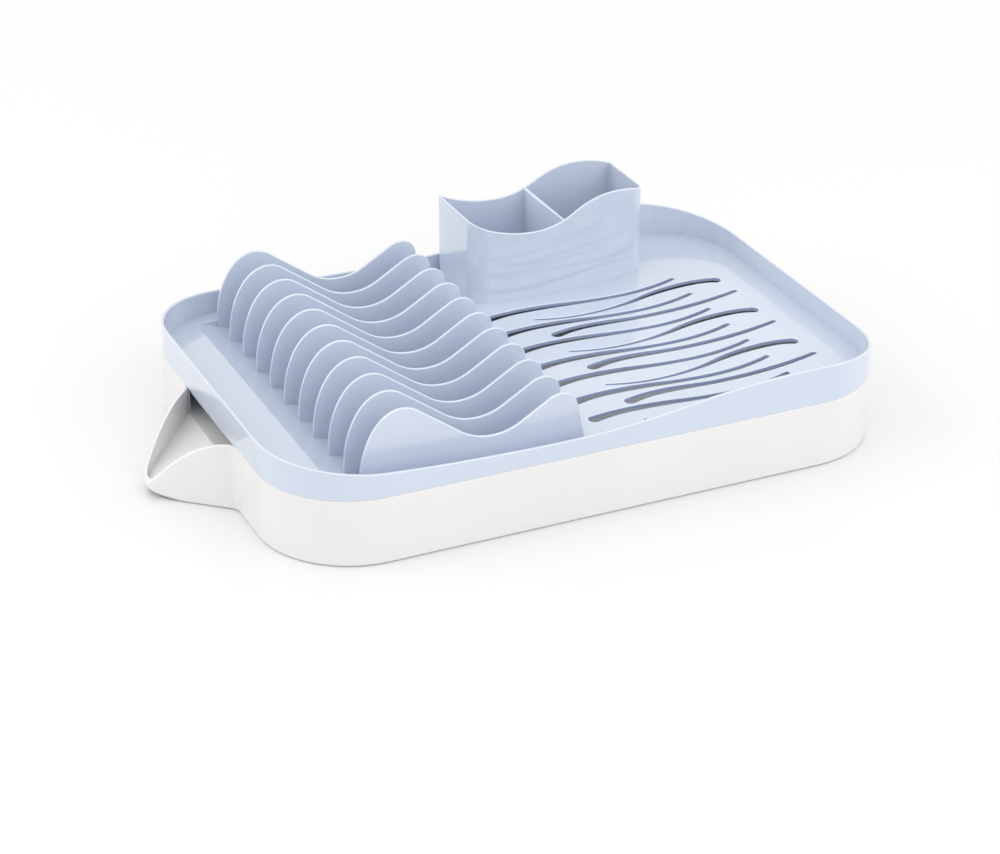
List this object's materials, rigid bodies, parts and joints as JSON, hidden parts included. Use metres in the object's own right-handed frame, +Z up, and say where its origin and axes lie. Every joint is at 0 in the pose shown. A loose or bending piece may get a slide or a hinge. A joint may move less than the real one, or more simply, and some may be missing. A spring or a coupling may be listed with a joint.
{
  "type": "dish drying rack",
  "caption": "Two-layer dish drying rack: a drip tray with a pouring spout, a slotted draining tray with wavy plate dividers, and a loose cutlery cup.",
  "frame": {"origin": "centre of the trays' rectangle, on the surface that the rack stands on", "axes": "+X along the rack, from the spout to the cup end, +Y to the back, +Z up"},
  "size_m": [0.52, 0.324, 0.1255],
  "materials": {
    "white_plastic": "moulded gloss",
    "blue_plastic": "moulded gloss"
  },
  "bodies": {
    "drip_tray": {"drip_tray": "white_plastic"},
    "draining_tray": {"draining_tray": "blue_plastic", "plate_divider_01": "blue_plastic", "plate_divider_02": "blue_plastic", "plate_divider_03": "blue_plastic", "plate_divider_04": "blue_plastic", "plate_divider_05": "blue_plastic", "plate_divider_06": "blue_plastic", "plate_divider_07": "blue_plastic", "plate_divider_08": "blue_plastic", "plate_divider_09": "blue_plastic", "plate_divider_10": "blue_plastic", "plate_divider_11": "blue_plastic"},
    "cutlery_cup": {"cutlery_cup": "blue_plastic"}
  },
  "joints": [
    {"name": "tray_lift", "type": "slide", "parent": "drip_tray", "child": "draining_tray", "axis": [0, 0, 1], "range_m": [0, 0.12]},
    {"name": "cup_lift", "type": "slide", "parent": "draining_tray", "child": "cutlery_cup", "axis": [0, 0, 1], "range_m": [0, 0.12]}
  ]
}
